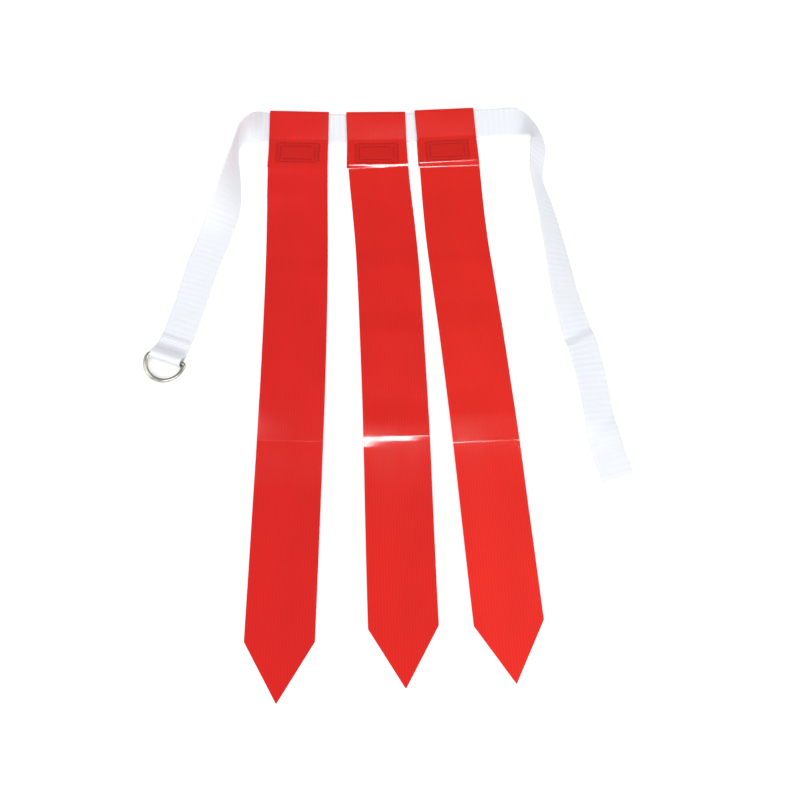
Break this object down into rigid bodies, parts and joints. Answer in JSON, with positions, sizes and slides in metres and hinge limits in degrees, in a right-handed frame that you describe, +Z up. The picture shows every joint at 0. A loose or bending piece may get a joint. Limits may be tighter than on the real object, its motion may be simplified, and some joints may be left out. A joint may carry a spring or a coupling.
{
  "type": "flag football belt",
  "caption": "Flag belt laid flat: webbing belt with a sewn loop of D-rings and pull-off vinyl flags, each closed round the belt by a hook-and-loop sleeve.",
  "frame": {"origin": "under the centre of the whole layout's bounding box, on the table that it lies on", "axes": "+X along the belt, towards its cut end; +Y from the flags' points towards the belt; +Z up from the table"},
  "size_m": [0.373, 0.4884, 0.0257],
  "materials": {
    "webbing": "ribbed white woven polyester webbing",
    "white_thread": "white polyester thread",
    "ring_steel": "nickel-plated steel wire, slightly worn",
    "red_vinyl": "glossy scrim-reinforced vinyl with fine lengthwise ribs",
    "hook_tape": "red hook tape, stiff and matt",
    "loop_tape": "red loop tape, soft pile",
    "red_thread": "dark red polyester thread"
  },
  "bodies": {
    "belt": {"belt_webbing": "webbing", "ring_loop_stitching": "white_thread"},
    "ring_upper": {"d_ring_upper": "ring_steel"},
    "ring_lower": {"d_ring_lower": "ring_steel"},
    "flag_1": {"flag_1_strip": "red_vinyl", "flag_1_hook_pad": "hook_tape", "flag_1_hook_stitching": "red_thread"},
    "tab_1": {"flag_1_tab": "red_vinyl", "flag_1_loop_pad": "loop_tape", "flag_1_loop_stitching": "red_thread"},
    "flag_2": {"flag_2_strip": "red_vinyl", "flag_2_hook_pad": "hook_tape", "flag_2_hook_stitching": "red_thread"},
    "tab_2": {"flag_2_tab": "red_vinyl", "flag_2_loop_pad": "loop_tape", "flag_2_loop_stitching": "red_thread"},
    "flag_3": {"flag_3_strip": "red_vinyl", "flag_3_hook_pad": "hook_tape", "flag_3_hook_stitching": "red_thread"},
    "tab_3": {"flag_3_tab": "red_vinyl", "flag_3_loop_pad": "loop_tape", "flag_3_loop_stitching": "red_thread"}
  },
  "joints": [
    {"name": "ring_upper_swing", "type": "hinge", "parent": "belt", "child": "ring_upper", "pos_m": [-0.16854, 0.01207, 0.00625], "axis": [-0.9426, 0.3338, 0], "range_deg": [0, 150]},
    {"name": "ring_lower_swing", "type": "hinge", "parent": "belt", "child": "ring_lower", "pos_m": [-0.16854, 0.01207, 0.00315], "axis": [-0.9426, 0.3338, 0], "range_deg": [-140, 0]},
    {"name": "flag_1_pull_off", "type": "slide", "parent": "belt", "child": "flag_1", "axis": [0, 0.9063, 0.4226], "range_m": [0, 0.05]},
    {"name": "tab_1_open", "type": "hinge", "parent": "flag_1", "child": "tab_1", "pos_m": [-0.07266, 0.23919, 0.00655], "axis": [0.9997, -0.0262, 0], "range_deg": [0, 150.1]},
    {"name": "flag_2_pull_off", "type": "slide", "parent": "belt", "child": "flag_2", "axis": [0, 0.9063, 0.4226], "range_m": [0, 0.05]},
    {"name": "tab_2_open", "type": "hinge", "parent": "flag_2", "child": "tab_2", "pos_m": [-0.00767, 0.2386, 0.00655], "axis": [1, 0.0087, 0], "range_deg": [0, 150.1]},
    {"name": "flag_3_pull_off", "type": "slide", "parent": "belt", "child": "flag_3", "axis": [0, 0.9063, 0.4226], "range_m": [0, 0.05]},
    {"name": "tab_3_open", "type": "hinge", "parent": "flag_3", "child": "tab_3", "pos_m": [0.0502, 0.24158, 0.00655], "axis": [0.9986, 0.0523, 0], "range_deg": [0, 150.1]}
  ],
  "couplings": [
    {"joint": "tab_1_open", "follows": "flag_1_pull_off", "rad_per_m": 52.36},
    {"joint": "tab_2_open", "follows": "flag_2_pull_off", "rad_per_m": 52.36},
    {"joint": "tab_3_open", "follows": "flag_3_pull_off", "rad_per_m": 52.36}
  ]
}
